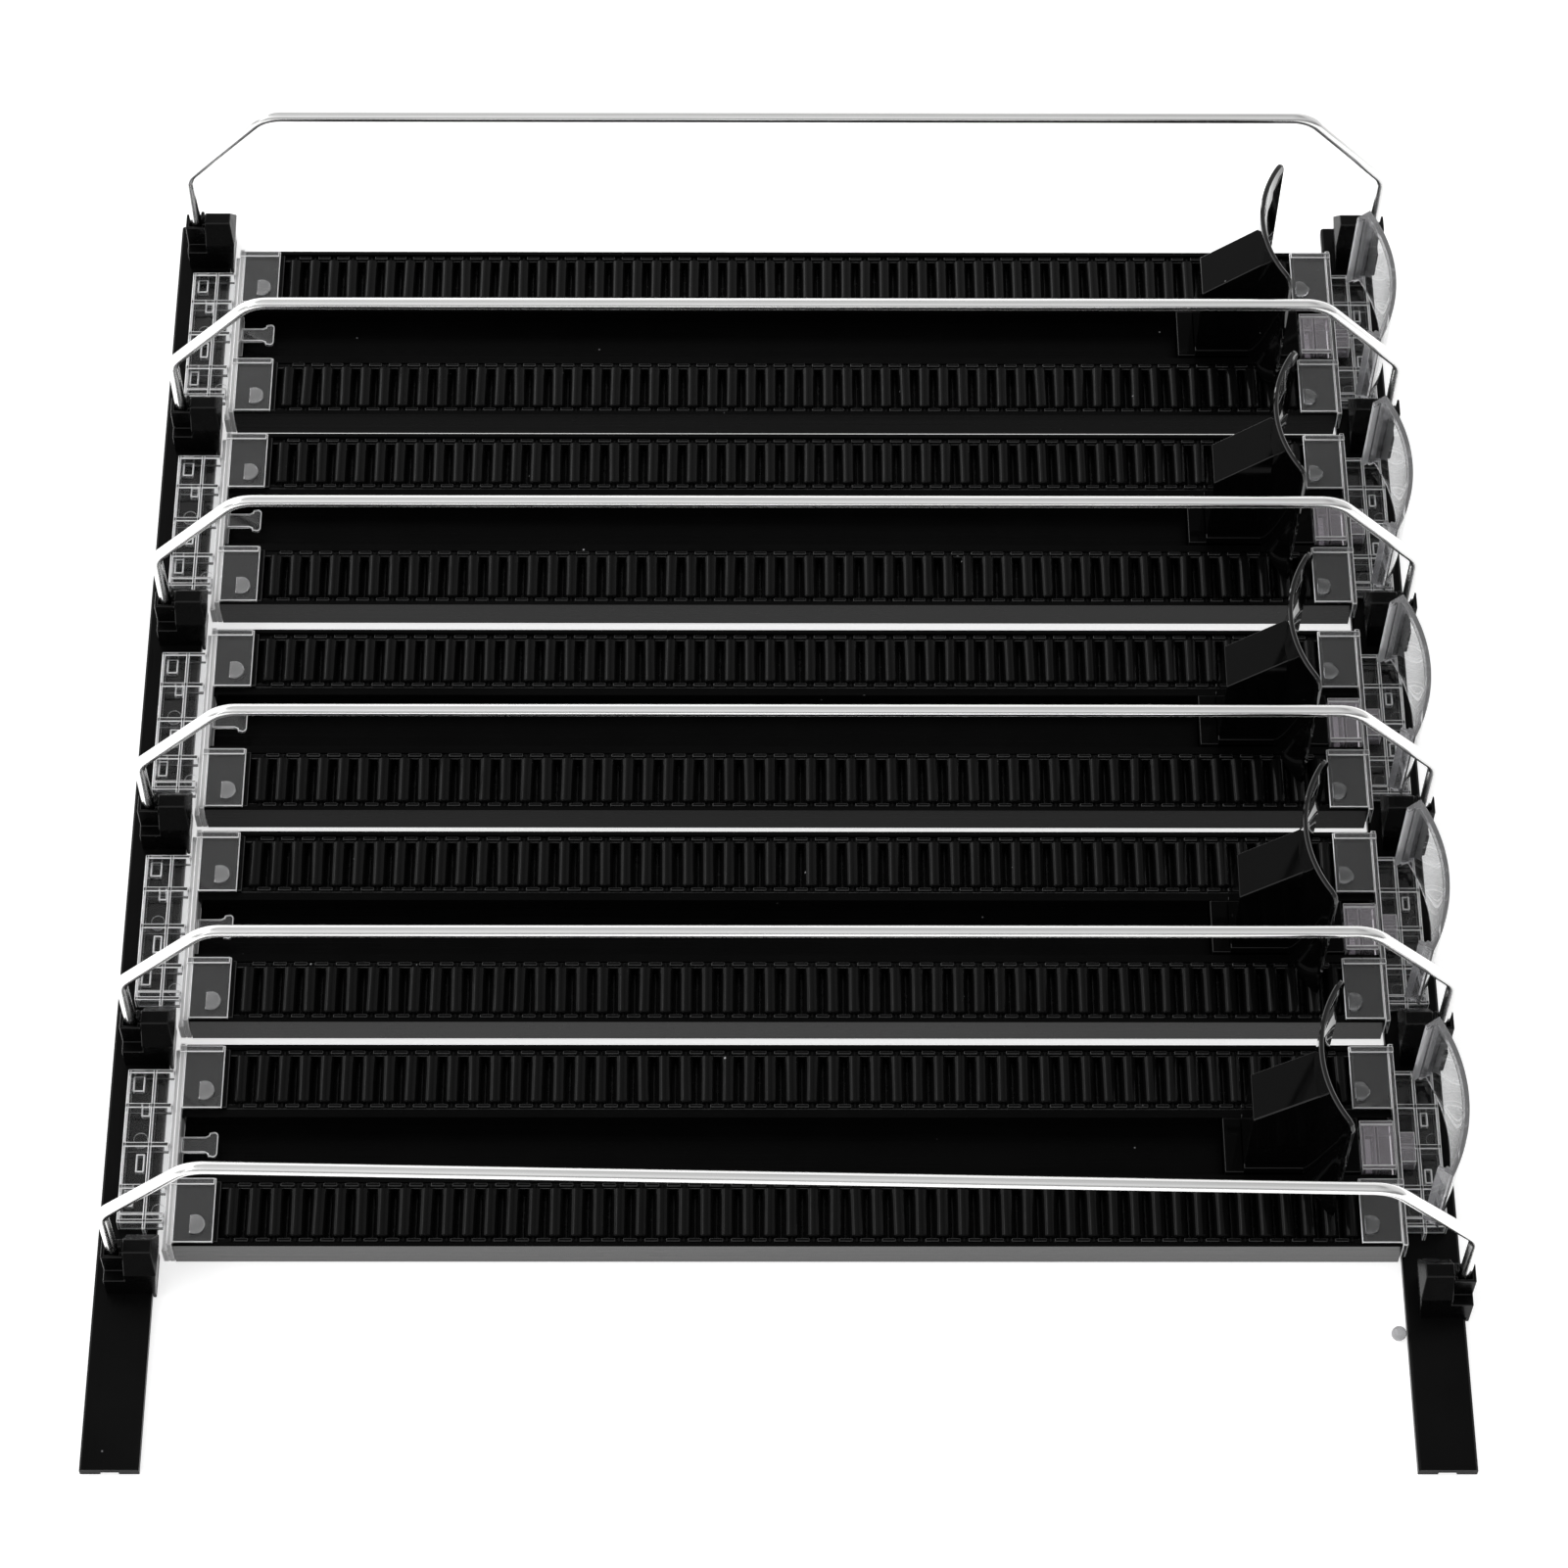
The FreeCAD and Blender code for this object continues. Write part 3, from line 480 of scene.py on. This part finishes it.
rear_slots = ((179.8, 183.2, 18.7, 5.2), (177.7, 180.3, 10.9, 4.3), (178.2, 180.8, -6.3, 5.7),
              (180.5, 183.4, -16.8, 6.1))
front_slots = ((176.6, 178.9, 8.0, 4.6), (176.6, 178.9, -9.6, 4.6))
ejector_marks, ejector_radius, ejector_height = ((173.6, -17.5), (180.0, 4.4)), 1.9, 4.1
bump_out, bump_radius, tab_middle = 161.0, 2.9, 20.5
holder_rear, holder_half, holder_inside, holder_roof, holder_top = track_end - 9.3, 7.5, 6.3, 9.0, 10
for lane in lanes:
    y = lane_y[lane]
    rear_wall = [(wall_start, -31, 0, wall_end, 31, tab_top), (wall_end, -31, 0, wall_end + 1.7, 31, 6.8)]
    front_wall = [(wall_start, -31, 3.0, wall_end, 31, tab_top)]
    rear = tab_rows()
    rear += tray_rows(wall_end + 1.7, 184.4, 176.8, 24.3, -22.95, (13.05, 1.0, -11.9), rear_slots)
    front = tab_rows()
    front += tray_rows(wall_end, 181.6, 175.2, 24.0, -24.0, (13.0, 0.5, -12.0), front_slots)
    for end, way, rows, wall, wall_finish_or_painted_light in (("rear", -1, rear, rear_wall, clear_wall_painted_light),
                                              ("front", 1, front, front_wall, clear)):
        shapes = [outward(way, rows, y)]
        if end == "rear":
            shapes.append(tongue(y + 1.8, 5.0, 6.2))
        piece = build(f"{end}_connector_moulding_{lane}", shapes, clear, "base")
        crisp(piece, 0.3, clear_edge_painted_highlight)
        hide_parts(f"{end}_connector_{lane}")
        upright = build(f"{end}_connector_wall_{lane}", [outward(way, wall, y)], wall_finish_or_painted_light, "base")
        crisp(upright, 0.3, clear_edge_painted_highlight)
        marks = [half_round(middle_x + way * bump_out - 1.4, y + middle - 4.5, bump_radius)
                 for middle in (tab_middle, -tab_middle)]
        marks += [ring_mark(middle_x + way * out, y + across, ejector_height, ejector_radius)
                  for out, across in ejector_marks]
        crown, rim = (clear_crown_painted_highlight, clear_edge_painted_highlight) if end == "rear" else (clear, clear)
        spots = build(f"{end}_connector_marks_{lane}", marks, crown, "base", 40)
        crisp(spots, 0.3, rim, 1, 50)
    anchor = [(holder_rear, -holder_half, 1.8, wall_start, -holder_inside, holder_top),
              (holder_rear, holder_inside, 1.8, wall_start, holder_half, holder_top),
              (holder_rear, -holder_inside, holder_roof, wall_start, holder_inside, holder_top),
              (track_end - 8.9, -holder_inside, 2, track_end - 7.9, holder_inside, holder_roof),
              (track_end - 5.2, -holder_inside, 2, track_end - 4.2, holder_inside, holder_roof),
              (wall_end, -4.6, 3.2, wall_end + 4.4, 4.6, 8.8)]
    holder = build(f"spring_holder_{lane}", [outward(1, anchor, y)], violet, "base")
    crisp(holder, 0.2, clear_edge_painted_highlight)


# Front stops. A curved clear wall stands in each front tray and holds the first can back.
# It is one clear moulding: a thin panel with a thicker lip along its top and a flange turned in at each end.
def curved_wall(centre_x, centre_y, turn, facing, loop):
    """A loop of (radius, height) carried round an upright axis; loop is a function of the angle array."""
    radius, height = loop(turn)
    x = centre_x + facing * radius * np.cos(turn)[:, None]
    y = centre_y + radius * np.sin(turn)[:, None]
    points = np.stack([x, y, height], axis=-1)
    if facing < 0:
        points = points[:, ::-1]
    return skins(points[None])


stop_radius, stop_flare, stop_end_radius, stop_half_width = 42.6, 1.2, 43.8, 24.3
stop_half, stop_arc = math.asin(stop_half_width / stop_end_radius), 42


def stop_loop(turn):
    """Section of the stop: a thin panel with a lip along its top, and a flange turned inwards at both ends.
    The outer radius grows with the square of the turn, as on a slightly flatter arc."""
    outer = stop_radius + stop_flare * (turn / stop_half) ** 2
    from_end = (stop_half - np.abs(turn)) * stop_arc
    panel_thick, lip_thick, flange_inside, step_inside = 1.1, 1.8, 38.9, 40.7
    inner = np.where(from_end < 1.91, step_inside, outer - panel_thick)
    inner = np.where(from_end < 1.01, flange_inside, inner)
    base, under, top = 8.0, 38.4, 40.0
    lip = np.minimum(inner, outer - lip_thick)
    radius = np.stack([inner, inner, lip, lip, outer, outer, outer], axis=1)
    height = np.broadcast_to([base, under, under, top, top, under, base], radius.shape)
    return radius, height


# Stop materials: the panel is plain clear; the lip and the flanges are greyer clear, painted shade for the dark
# parts seen through them; the bevels and the flanges' inner faces are a whiter, scattering clear, painted
# highlight.
stop_panel = clear_plastic("stop_clear_panel", (0.93, 0.935, 0.94), (0.0, 0.02), 0.985, 0.000002)
stop_rim_painted_shade = clear_plastic("stop_clear_rim_painted_shade", (0.52, 0.52, 0.53), (0.02, 0.10), 0.7, 0.00001)
stop_flange_painted_shade = clear_plastic("stop_clear_flange_painted_shade", (0.7, 0.7, 0.72), (0.02, 0.12), 0.86, 0.00001)
stop_edge_painted_highlight = clear_plastic("stop_clear_edge_painted_highlight", (0.86, 0.86, 0.88), (0.1, 0.2), 0.45, 0.000002)
flange_edges = stop_half - np.array([1.0, 1.1, 1.9, 2.0]) / stop_arc
panel_turn = np.linspace(-flange_edges[-1], flange_edges[-1], 31)[1:-1]
stop_turn = np.concatenate([[-stop_half], -flange_edges, panel_turn, flange_edges[::-1], [stop_half]])
stop_out, lip_line, flange_line = 14.1, 38.5, 40.2
flange_across = 40.6 * math.sin(flange_edges[-1])
on_panel, on_painted_highlight, on_lip_painted_shade, on_flange_painted_shade = range(4)
for lane in lanes:
    centre = middle_x + track_end + stop_out - 40
    stop = build(f"front_stop_wall_{lane}", [curved_wall(centre, lane_y[lane], stop_turn, 1, stop_loop)],
                 stop_panel, "base", 30)
    crisp(stop, 0.3, stop_edge_painted_highlight, 2, 40)
    stop.data.materials.append(stop_rim_painted_shade)
    stop.data.materials.append(stop_flange_painted_shade)
    # Each face takes its material from its height, its distance along the wall and its distance from the axis:
    # the lip and the flanges' outer faces get the painted shade, the flanges' inner faces the painted
    # highlight.
    faces = stop.data.polygons
    centres = np.empty(len(faces) * 3)
    faces.foreach_get("center", centres)
    across, rise = np.abs(centres[1::3] * 1000 - lane_y[lane]), centres[2::3] * 1000
    from_axis = np.hypot(centres[0::3] * 1000 - centre, across)
    flange = np.where(from_axis < flange_line, on_painted_highlight, on_flange_painted_shade)
    finish = np.where(rise > lip_line, on_lip_painted_shade, np.where(across > flange_across, flange, on_panel))
    faces.foreach_set("material_index", finish.astype(np.int32))
    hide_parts(f"front_stop_{lane}")

# A loose bead lies on the floor, in the same grey clear as the stop's lip.
bead_radius = 2.1
bead_turn = np.linspace(0, 2 * np.pi, 20, endpoint=False)
bead_rise = np.linspace(-0.47 * np.pi, 0.47 * np.pi, 12)[:, None]
bead_ring = np.stack([np.cos(bead_rise) * np.cos(bead_turn), np.cos(bead_rise) * np.sin(bead_turn),
                      np.broadcast_to(np.sin(bead_rise), (12, 20))], axis=-1)
bead = bead_ring * bead_radius + (168.4, -168.8, bead_radius)
build("loose_bead", [skins(bead[None])], stop_rim_painted_shade, "base", 60)


# Pushers. One glossy black moulding each: a sled in the channel, a wedge-shaped spring housing and a curved
# paddle that follows the can. The roll of flat steel tape sits in the housing, and its end is held at the
# front;
# here only a short straight piece of tape lies in the channel at the sled's nose, and it is not tied to the
# pusher.
pusher_plastic = black_plastic("pusher_black_gloss", (0.0012, 0.0012, 0.0012), (0.03, 0.08), (120, 120, 120),
                               0.00001, 0.035, 0.6)
paddle_plastic = black_plastic("paddle_black_gloss", (0.0012, 0.0012, 0.0012), (0.02, 0.06), (90, 90, 90),
                               0.00001, 0.5, 0.6)
sled_front = holder_rear - 0.4
paddle_back = sled_front - 17.0
housing_front = paddle_back + 1.0
housing_rear = housing_front - 16.6
housing_half, housing_high, housing_low = 7.0, 53.4, 39.0
sled_half, runner_inside, neck_half = 9.6, 5.8, 8.4
paddle_radius, paddle_half_width, paddle_top, corner_radius = 38.0, 22.6, 66.5, 3.0
paddle_half = math.asin(paddle_half_width / paddle_radius)
paddle_turn = np.linspace(-paddle_half, paddle_half, 61)


def paddle_loop(turn):
    """Section of the paddle: a thin plate with a bead along its top, its top corners rounded off."""
    from_end = (paddle_half - np.abs(turn)) * paddle_radius
    inside = np.maximum(0, corner_radius - from_end)
    drop = corner_radius - np.sqrt(np.maximum(0, corner_radius ** 2 - inside ** 2))
    top = paddle_top - drop
    low = np.full_like(turn, track_top + 1.1)
    face, back, bead, soft = 36.8, paddle_radius, 38.2, 0.3
    radius = np.stack([np.full_like(turn, value) for value in
                       (face, face, face + soft, bead - soft, bead, bead, back, back)], axis=1)
    height = np.stack([low, top - soft, top, top, top - soft, top - 1.8, top - 2.2, low], axis=1)
    return radius, height


def extrusion(outline, y_low, y_high):
    """A closed outline of (x, z) pushed along Y."""
    outline = np.asarray(outline, float)
    loops = [np.stack([outline[:, 0], np.full(len(outline), y), outline[:, 1]], axis=1)
             for y in (y_low, y_high)]
    return skins(np.stack(loops)[None, :, ::-1])


steel = bpy.data.materials.new("spring_tape_steel")
steel.use_nodes = True
shade = steel.node_tree.nodes["Principled BSDF"]
shade.inputs["Metallic"].default_value = 1.0
shade.inputs["Base Color"].default_value = (0.5, 0.5, 0.51, 1)
steel_place = steel.node_tree.nodes.new("ShaderNodeTexCoord")
steel_grain = steel.node_tree.nodes.new("ShaderNodeGroup")
steel_grain.node_tree = surface_grain
steel_grain.inputs["Stretch"].default_value = (10, 1500, 1500)
steel_grain.inputs["Rough Low"].default_value = 0.2
steel_grain.inputs["Rough High"].default_value = 0.38
steel.node_tree.links.new(steel_place.outputs["Object"], steel_grain.inputs["Coordinates"])
steel.node_tree.links.new(steel_grain.outputs["Roughness"], shade.inputs["Roughness"])

tape_points, tape_height = 61, 3.2
tape_section = np.array([(0, -1, -1), (0, 1, -1), (0, 1, 1), (0, -1, 1)]) * (1, 4.8, 0.09)
for lane in lanes:
    y = lane_y[lane]
    rear, front, nose = middle_x + housing_rear, middle_x + housing_front, middle_x + sled_front
    tail, under, plate, joined = nose - 37.6, 2.0, 3.4, 4
    flange, deck, skirt = track_top - 2.9, track_top - 0.1, track_top + 2.3
    runner = [(tail, under), (nose, under), (nose, joined), (tail, joined)]
    sled_parts = [
        extrusion([(tail, plate), (nose, plate), (nose, flange), (tail, flange)], y - sled_half, y + sled_half),
        extrusion(runner, y - sled_half, y - runner_inside),
        extrusion(runner, y + runner_inside, y + sled_half),
        extrusion([(tail, plate), (nose, plate), (nose, deck), (tail, deck)], y - neck_half, y + neck_half),
        extrusion([(rear, 5), (front, 5), (front, skirt), (rear, skirt)], y - neck_half, y + neck_half),
        extrusion([(rear, 5), (front, 5), (front, housing_high), (rear, housing_low)],
                  y - housing_half, y + housing_half),
    ]
    sled = build(f"pusher_sled_{lane}", sled_parts, pusher_plastic, f"pusher_{lane}")
    crisp(sled, 0.3, black_edge_painted_highlight, 2, 30)
    build(f"pusher_paddle_{lane}",
          [curved_wall(middle_x + paddle_back + paddle_radius, y, paddle_turn, -1, paddle_loop)],
          paddle_plastic, f"pusher_{lane}", 30)
    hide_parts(f"pusher_{lane}")
    dress(f"coil_spring_{lane}", steel)
    run_x = np.linspace(nose + 4.0, nose - 7.0, tape_points)
    run = np.stack([run_x, np.full(tape_points, y), np.full(tape_points, tape_height)], axis=1)
    loops = run[:, None] + tape_section
    tape = build(f"spring_tape_{lane}", [skins(loops[None, ::-1])], steel, None)
    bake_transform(tape)


# Wire dividers. Round steel wire, bent to a hoop with four rounded corners and plated bright, stands
# between the lanes with both feet in its clips. The plating keeps faint lines from the wire's drawing.
def bright_wire():
    """Bright plated steel: lines drawn along the wire, read from its own length and turn."""
    material = bpy.data.materials.new("bright_plated_wire")
    material.use_nodes = True
    nodes, link = material.node_tree.nodes, material.node_tree.links.new
    shader = nodes["Principled BSDF"]
    shader.inputs["Metallic"].default_value = 1.0
    place, grain, bump, tint = (nodes.new(kind) for kind in
                                ("ShaderNodeUVMap", "ShaderNodeGroup", "ShaderNodeBump", "ShaderNodeMix"))
    place.uv_map = "along"
    grain.node_tree = surface_grain
    grain.inputs["Stretch"].default_value = (12, 40, 1)
    grain.inputs["Rough Low"].default_value = 0.12
    grain.inputs["Rough High"].default_value = 0.26
    tint.data_type = "RGBA"
    tint.inputs["A"].default_value = (0.80, 0.80, 0.80, 1)
    tint.inputs["B"].default_value = (0.93, 0.93, 0.92, 1)
    bump.inputs["Distance"].default_value = 0.00002
    link(place.outputs["UV"], grain.inputs["Coordinates"])
    link(grain.outputs["Cloud"], tint.inputs["Factor"])
    link(tint.outputs["Result"], shader.inputs["Base Color"])
    link(grain.outputs["Roughness"], shader.inputs["Roughness"])
    link(grain.outputs["Height"], bump.inputs["Height"])
    link(bump.outputs["Normal"], shader.inputs["Normal"])
    return material


wire_metal = bright_wire()
wire_radius, wire_around = 1.7, 20


def hoop_path(rear_y, front_y):
    """Middle line of the wire: straight runs with a circular arc of the bend's radius at each corner."""
    span, foot, shoulder, top, slope = 183.25, 8.3, 41.0, 70.1, 25.95
    rise = [(-span, foot), (-span, shoulder), (-span + slope, top),
            (span - slope, top), (span, shoulder), (span, foot)]
    corners = np.array([(x, rear_y + (x + span) / (2 * span) * (front_y - rear_y), z) for x, z in rise])
    path = [corners[:1]]
    for i, radius in enumerate((7.0, 11.0, 11.0, 7.0), start=1):
        back = corners[i - 1] - corners[i]
        ahead = corners[i + 1] - corners[i]
        back, ahead = back / np.linalg.norm(back), ahead / np.linalg.norm(ahead)
        half = math.acos(float(back @ ahead)) / 2
        middle = (back + ahead) / np.linalg.norm(back + ahead)
        hub = corners[i] + middle * radius / math.sin(half)
        start, end = corners[i] + back * radius / math.tan(half), corners[i] + ahead * radius / math.tan(half)
        share = np.linspace(0, 1, 9)[:, None]
        arc = start * (1 - share) + end * share - hub
        path.append(hub + arc / np.linalg.norm(arc, axis=1)[:, None] * radius)
    path.append(corners[-1:])
    runs = np.concatenate(path)
    return runs + (middle_x, 0, 0)


def tube(path, radius, around):
    """A circle carried along a path, square to it, in the frame of the path's plane."""
    ahead = np.gradient(path, axis=0)
    ahead[0], ahead[-1] = path[1] - path[0], path[-1] - path[-2]
    ahead /= np.linalg.norm(ahead, axis=1)[:, None]
    across = np.cross(path[-1] - path[0], (0, 0, 1.0))
    across /= np.linalg.norm(across)
    up = np.cross(across, ahead)
    turn = np.linspace(0, 2 * np.pi, around, endpoint=False)
    ring = np.cos(turn)[None, :, None] * across + np.sin(turn)[None, :, None] * up[:, None]
    return skins((path[:, None] + radius * ring)[None, :, ::-1])


divider_clips = range(1, 7)
for divider in divider_clips:
    rear_low, rear_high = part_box(f"rear_clip_{divider}")
    front_low, front_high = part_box(f"front_clip_{divider}")
    path = hoop_path((rear_low[1] + rear_high[1]) * 500, (front_low[1] + front_high[1]) * 500)
    wire = build(f"divider_hoop_{divider}", [tube(path, wire_radius, wire_around)], wire_metal, "base",
                 40)
    mesh = wire.data
    length = np.concatenate([[0], np.cumsum(np.linalg.norm(np.diff(path, axis=0), axis=1))]) * 0.001
    corner = np.empty(len(mesh.loops), int)
    mesh.loops.foreach_get("vertex_index", corner)
    uv = mesh.uv_layers.new(name="along")
    spread = np.stack([length[corner // wire_around], (corner % wire_around) * 0.03], axis=1)
    uv.data.foreach_set("uv", spread.ravel())
    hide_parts(f"divider_wire_{divider}")


# Clips. Black moulded pieces hook over the rails and hold the wires' feet in a square socket.
# They are held on by their own spring and have small radii on every edge.
clip_plastic = black_plastic("clip_black_moulded", (0.0015, 0.0015, 0.0015), (0.18, 0.35), (300, 300, 300),
                             0.00003, 0.08, 1.0)


def moulding(node, name, material, edge, radius):
    """The CAD piece's own form as one closed skin, flat faces joined, with mould radii on its edges."""
    shape = bmesh.new()
    shape.from_mesh(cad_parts[node].data)
    weld_distance, flat_angle = 2e-6, math.radians(1.0)
    bmesh.ops.remove_doubles(shape, verts=shape.verts, dist=weld_distance)
    bmesh.ops.dissolve_limit(shape, angle_limit=flat_angle, verts=shape.verts, edges=shape.edges)
    mesh = bpy.data.meshes.new(name)
    shape.to_mesh(mesh)
    shape.free()
    mesh.materials.clear()
    mesh.materials.append(material)
    piece = bpy.data.objects.new(name, mesh)
    bpy.context.scene.collection.objects.link(piece)
    crisp(piece, radius, edge)
    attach(piece, "base")
    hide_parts(node)


for divider in divider_clips:
    for end in ("rear", "front"):
        moulding(f"{end}_clip_{divider}", f"{end}_clip_moulding_{divider}", clip_plastic, black_edge_painted_highlight,
                 0.3)


# Studio. A white sweep of paper inside a bright cloth tent, and the camera above and in front of the
# organizer, looking down across the lanes.
def paper():
    """White paper: diffuse, and lifted to white where it is seen, also in glass and metal."""
    material = bpy.data.materials.new("studio_paper")
    material.use_nodes = True
    nodes, link = material.node_tree.nodes, material.node_tree.links.new
    nodes.remove(nodes["Principled BSDF"])
    output = nodes["Material Output"]
    diffuse, glow, total = (nodes.new(kind) for kind in ("ShaderNodeBsdfDiffuse", "ShaderNodeEmission",
                                                         "ShaderNodeAddShader"))
    diffuse.inputs["Color"].default_value = (0.82, 0.82, 0.82, 1)
    rays = nodes.new("ShaderNodeLightPath")
    first, second, strength = (nodes.new("ShaderNodeMath") for _ in range(3))
    first.operation = second.operation = "MAXIMUM"
    strength.operation = "MULTIPLY"
    strength.inputs[1].default_value = 0.64
    link(rays.outputs["Is Camera Ray"], first.inputs[0])
    link(rays.outputs["Is Glossy Ray"], first.inputs[1])
    link(first.outputs[0], second.inputs[0])
    link(rays.outputs["Is Transmission Ray"], second.inputs[1])
    link(second.outputs[0], strength.inputs[0])
    link(strength.outputs[0], glow.inputs["Strength"])
    link(diffuse.outputs[0], total.inputs[0])
    link(glow.outputs[0], total.inputs[1])
    link(total.outputs[0], output.inputs["Surface"])
    return material


floor_mesh = bpy.data.meshes.new("studio_floor")
reach, paper_drop = 4.0, 0.0002
floor_mesh.from_pydata([(x * reach, y * reach, -paper_drop) for x, y in ((-1, -1), (1, -1), (1, 1), (-1, 1))],
                       [], [(0, 1, 2, 3)])
floor_mesh.materials.append(paper())
floor = bpy.data.objects.new("studio_floor", floor_mesh)
bpy.context.scene.collection.objects.link(floor)


def sky():
    """Bright tent of cloth: brightest low behind the organizer, dim low behind the camera, even overhead.
    Its rear side, at low X, is brighter than its front side, with a narrow upright strip of light in it."""
    world = bpy.data.worlds.new("studio_sky")
    world.use_nodes = True
    nodes, link = world.node_tree.nodes, world.node_tree.links.new
    place, split = nodes.new("ShaderNodeTexCoord"), nodes.new("ShaderNodeSeparateXYZ")
    side, both = nodes.new("ShaderNodeMapRange"), nodes.new("ShaderNodeMix")
    side.interpolation_type = "SMOOTHSTEP"
    side.inputs["From Min"].default_value = -0.6
    side.inputs["From Max"].default_value = 0.1
    both.data_type = "RGBA"
    link(place.outputs["Generated"], split.inputs[0])
    link(split.outputs["Y"], side.inputs["Value"])
    link(side.outputs["Result"], both.inputs["Factor"])
    front_cloth = ((0.0, 0.30), (0.33, 0.40), (0.55, 0.80), (0.86, 0.80), (1.0, 0.62))
    back_cloth = ((0.0, 1.25), (0.50, 1.15), (0.74, 0.95), (0.82, 0.48), (0.90, 0.48), (0.96, 0.62),
                  (1.0, 0.62))
    for socket, stops in (("A", front_cloth), ("B", back_cloth)):
        ramp = nodes.new("ShaderNodeValToRGB")
        for height, level in stops[1:-1]:
            ramp.color_ramp.elements.new(height).color = (level, level, level, 1)
        ramp.color_ramp.elements[0].color = (*[stops[0][1]] * 3, 1)
        ramp.color_ramp.elements[-1].color = (*[stops[-1][1]] * 3, 1)
        link(split.outputs["Z"], ramp.inputs["Fac"])
        link(ramp.outputs["Color"], both.inputs[socket])
    along = nodes.new("ShaderNodeMapRange")
    along.interpolation_type = "SMOOTHSTEP"
    along.inputs["From Min"].default_value = -0.9
    along.inputs["From Max"].default_value = 0.9
    along.inputs["To Min"].default_value = 1.35
    along.inputs["To Max"].default_value = 0.65
    strip, lamp, total = (nodes.new("ShaderNodeMath") for _ in range(3))
    strip.operation, lamp.operation, total.operation = "COMPARE", "MULTIPLY", "ADD"
    strip.inputs[1].default_value = -0.66
    strip.inputs[2].default_value = 0.04
    lamp.inputs[1].default_value = 3.2
    link(split.outputs["X"], along.inputs["Value"])
    link(split.outputs["X"], strip.inputs[0])
    link(strip.outputs[0], lamp.inputs[0])
    link(along.outputs["Result"], total.inputs[0])
    link(lamp.outputs[0], total.inputs[1])
    link(total.outputs[0], nodes["Background"].inputs["Strength"])
    link(both.outputs["Result"], nodes["Background"].inputs["Color"])
    return world


bpy.context.scene.world = sky()

pitch, yaw, roll = math.radians(59.219), math.radians(0.579), math.radians(0.552)
forward = Vector((math.sin(yaw) * math.cos(pitch), math.cos(yaw) * math.cos(pitch), -math.sin(pitch)))
level = Vector((math.cos(yaw), -math.sin(yaw), 0))
above = level.cross(forward)
right = level * math.cos(roll) + above * math.sin(roll)
up = above * math.cos(roll) - level * math.sin(roll)
camera_data = bpy.data.cameras.new("camera")
camera_data.sensor_width = 36.0
camera_data.lens = 103.23
camera = bpy.data.objects.new("camera", camera_data)
stand = Matrix.Translation((-0.00572, -0.66701, 1.13098))
camera.matrix_world = stand @ Matrix((right, up, -forward)).transposed().to_4x4()
bpy.context.scene.collection.objects.link(camera)
bpy.context.scene.camera = camera
bpy.context.scene.view_settings.view_transform = "Standard"
